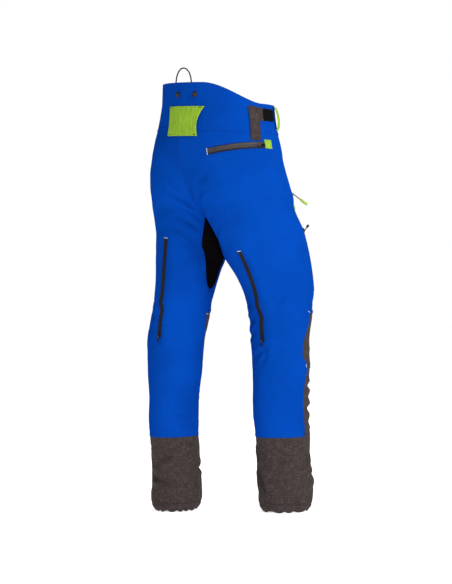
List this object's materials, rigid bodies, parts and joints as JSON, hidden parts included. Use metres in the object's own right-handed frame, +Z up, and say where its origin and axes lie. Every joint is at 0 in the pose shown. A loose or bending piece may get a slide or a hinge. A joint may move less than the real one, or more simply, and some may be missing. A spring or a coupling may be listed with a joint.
{
  "type": "chainsaw protective trousers",
  "caption": "Full-length protective work trousers in worn shape: raised back with brace buttons, padded front, ripstop shins and cuffs, zipped pockets and thigh vents.",
  "frame": {"origin": "centre of the waist opening, level with the waist edge at the sides", "axes": "+Z up; the wearer faces -Y and their left side is +X"},
  "size_m": [0.4225, 0.3721, 1.1587],
  "materials": {
    "shell_cloth": "woven stretch",
    "ripstop": "ripstop weave",
    "gusset_cloth": "stretch knit",
    "lime_cloth": "woven tape",
    "black_webbing": "woven elastic",
    "pad_fill": "layered knit",
    "pocket_lining": "plain weave",
    "zip_tape": "coated coil zip",
    "slider_metal": "black enamel",
    "pull_metal": "burnished",
    "pull_rubber": "soft moulded",
    "button_metal": "black oxide",
    "cord": "braided"
  },
  "bodies": {
    "trousers": {"back_waistband": "shell_cloth", "front_waistband_left": "shell_cloth", "front_waistband_right": "shell_cloth", "rear_panel_left": "shell_cloth", "rear_panel_right": "shell_cloth", "front_panel_left": "shell_cloth", "front_panel_right": "shell_cloth", "knee_panel_left": "ripstop", "knee_panel_right": "ripstop", "shin_panel_left": "ripstop", "shin_panel_right": "ripstop", "cuff_left": "ripstop", "cuff_right": "ripstop", "hem_elastic_left": "black_webbing", "hem_elastic_right": "black_webbing", "crotch_gusset": "gusset_cloth", "cut_pad_left": "pad_fill", "cut_pad_right": "pad_fill", "hanging_loop": "cord", "brace_button_rear_left": "button_metal", "brace_button_rear_right": "button_metal", "brace_button_front_left": "button_metal", "brace_button_front_right": "button_metal", "belt_tunnel": "lime_cloth", "side_belt_loop_left": "ripstop", "side_belt_loop_right": "ripstop", "front_belt_loop_left": "lime_cloth", "front_belt_loop_right": "lime_cloth", "waist_strap_left": "black_webbing", "waist_strap_right": "black_webbing", "rear_pocket_bag": "pocket_lining", "rear_pocket_tab": "lime_cloth", "rear_pocket_zip": "zip_tape", "hand_pocket_bag_left": "pocket_lining", "hand_pocket_bag_right": "pocket_lining", "hand_pocket_tab_left": "lime_cloth", "hand_pocket_tab_right": "lime_cloth", "hand_pocket_zip_left": "zip_tape", "hand_pocket_zip_right": "zip_tape", "thigh_pocket_bag": "pocket_lining", "thigh_pocket_zip": "zip_tape", "vent_zip_left": "zip_tape", "vent_zip_right": "zip_tape", "fly_placket": "shell_cloth", "fly_zip": "zip_tape", "waist_button": "button_metal"},
    "rear_pocket_slider": {"rear_pocket_slider": "slider_metal"},
    "rear_pocket_pull": {"rear_pocket_pull": "pull_metal"},
    "hand_pocket_slider_left": {"hand_pocket_slider_left": "slider_metal"},
    "hand_pocket_pull_left": {"hand_pocket_pull_left": "pull_rubber"},
    "hand_pocket_slider_right": {"hand_pocket_slider_right": "slider_metal"},
    "hand_pocket_pull_right": {"hand_pocket_pull_right": "pull_rubber"},
    "thigh_pocket_slider": {"thigh_pocket_slider": "slider_metal"},
    "thigh_pocket_pull": {"thigh_pocket_pull": "pull_metal"},
    "vent_slider_left": {"vent_slider_left": "slider_metal"},
    "vent_pull_left": {"vent_pull_left": "pull_metal"},
    "vent_slider_right": {"vent_slider_right": "slider_metal"},
    "vent_pull_right": {"vent_pull_right": "pull_metal"},
    "fly_slider": {"fly_slider": "slider_metal"},
    "fly_pull": {"fly_pull": "pull_metal"}
  },
  "joints": [
    {"name": "rear_pocket_zip_slide", "type": "hinge", "parent": "trousers", "child": "rear_pocket_slider", "pos_m": [-0.033, -0.0173, -0.15674], "axis": [-0.2322, 0.0538, -0.9712], "range_deg": [0, 49.21]},
    {"name": "rear_pocket_pull_swing", "type": "hinge", "parent": "rear_pocket_slider", "child": "rear_pocket_pull", "pos_m": [-0.18823, 0.03499, -0.11673], "axis": [0.2322, -0.0538, 0.9712], "range_deg": [0, 150]},
    {"name": "hand_pocket_left_zip_slide", "type": "hinge", "parent": "trousers", "child": "hand_pocket_slider_left", "pos_m": [-0.20611, 0.34647, -0.22701], "axis": [-0.6897, -0.6105, -0.3892], "range_deg": [0, 16.09]},
    {"name": "hand_pocket_left_pull_swing", "type": "hinge", "parent": "hand_pocket_slider_left", "child": "hand_pocket_pull_left", "pos_m": [0.17809, -0.07966, -0.23938], "axis": [-0.6897, -0.6105, -0.3892], "range_deg": [-34, 62]},
    {"name": "hand_pocket_right_zip_slide", "type": "slide", "parent": "trousers", "child": "hand_pocket_slider_right", "axis": [0.4034, -0.0736, 0.912], "range_m": [0, 0.1453]},
    {"name": "hand_pocket_right_pull_swing", "type": "hinge", "parent": "hand_pocket_slider_right", "child": "hand_pocket_pull_right", "pos_m": [-0.17771, -0.09586, -0.23764], "axis": [-0.6908, 0.6291, 0.3563], "range_deg": [-34, 62]},
    {"name": "thigh_pocket_zip_slide", "type": "hinge", "parent": "trousers", "child": "thigh_pocket_slider", "pos_m": [0.40161, 0.31897, -0.54615], "axis": [0.6774, -0.7103, 0.1916], "range_deg": [0, 11.6]},
    {"name": "thigh_pocket_pull_swing", "type": "hinge", "parent": "thigh_pocket_slider", "child": "thigh_pocket_pull", "pos_m": [-0.16387, -0.16146, -0.32798], "axis": [0.6774, -0.7103, 0.1916], "range_deg": [-46, 50]},
    {"name": "vent_left_zip_slide", "type": "slide", "parent": "trousers", "child": "vent_slider_left", "axis": [-0.0066, -0.0916, 0.9958], "range_m": [0, 0.2459]},
    {"name": "vent_left_pull_swing", "type": "hinge", "parent": "vent_slider_left", "child": "vent_pull_left", "pos_m": [0.09128, 0.13192, -0.60239], "axis": [0.9953, 0.0958, 0.0155], "range_deg": [0, 150]},
    {"name": "vent_right_zip_slide", "type": "hinge", "parent": "trousers", "child": "vent_slider_right", "pos_m": [-0.15518, 0.26927, -0.59488], "axis": [-0.987, -0.1306, 0.0934], "range_deg": [0, 43.3]},
    {"name": "vent_right_pull_swing", "type": "hinge", "parent": "vent_slider_right", "child": "vent_pull_right", "pos_m": [-0.11617, -0.03909, -0.61388], "axis": [0.987, 0.1306, -0.0934], "range_deg": [0, 150]},
    {"name": "fly_zip_slide", "type": "hinge", "parent": "trousers", "child": "fly_slider", "pos_m": [0.00051, 0.20625, -0.18533], "axis": [1, -0.0027, -0.0042], "range_deg": [0, 25.76]},
    {"name": "fly_pull_swing", "type": "hinge", "parent": "fly_slider", "child": "fly_pull", "pos_m": [-0.00005, -0.13579, -0.09926], "axis": [-1, 0.0027, 0.0042], "range_deg": [0, 150]}
  ]
}
